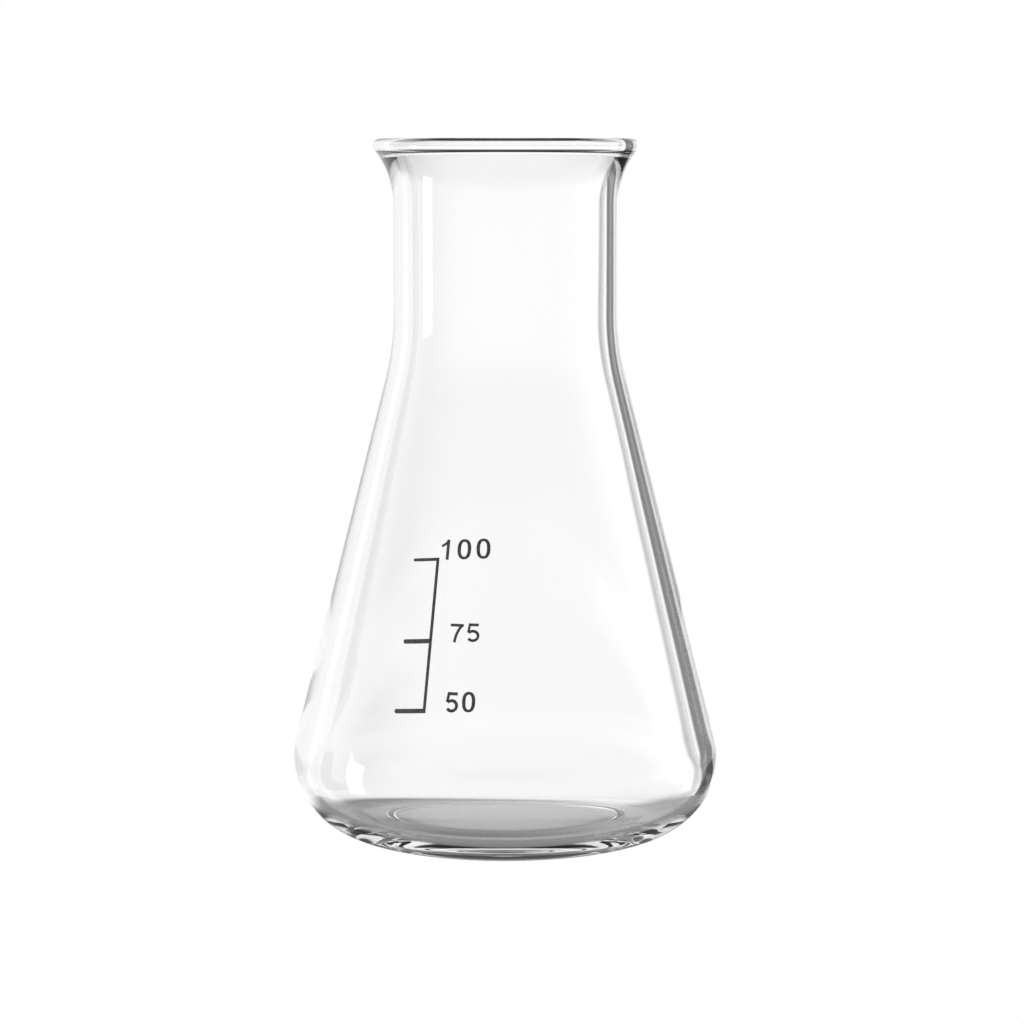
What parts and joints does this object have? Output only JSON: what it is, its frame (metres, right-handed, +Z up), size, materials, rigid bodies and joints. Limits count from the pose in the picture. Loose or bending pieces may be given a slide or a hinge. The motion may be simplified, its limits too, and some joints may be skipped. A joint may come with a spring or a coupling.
{
  "type": "erlenmeyer flask",
  "caption": "Wide-neck conical laboratory flask in clear glass with a flared, beaded rim and a printed volume scale.",
  "frame": {"origin": "middle of the base, on the surface the flask stands on", "axes": "+Z up along the flask's axis, -Y the front, from where the scale reads a little to the left"},
  "size_m": [0.0672, 0.0672, 0.1095],
  "materials": {
    "glass": "polished",
    "enamel": "satin"
  },
  "bodies": {
    "root": {"flask_glass": "glass", "scale_upright": "enamel", "line_100": "enamel", "line_75": "enamel", "line_50": "enamel", "numeral_100": "enamel", "numeral_75": "enamel", "numeral_50": "enamel"}
  },
  "joints": []
}
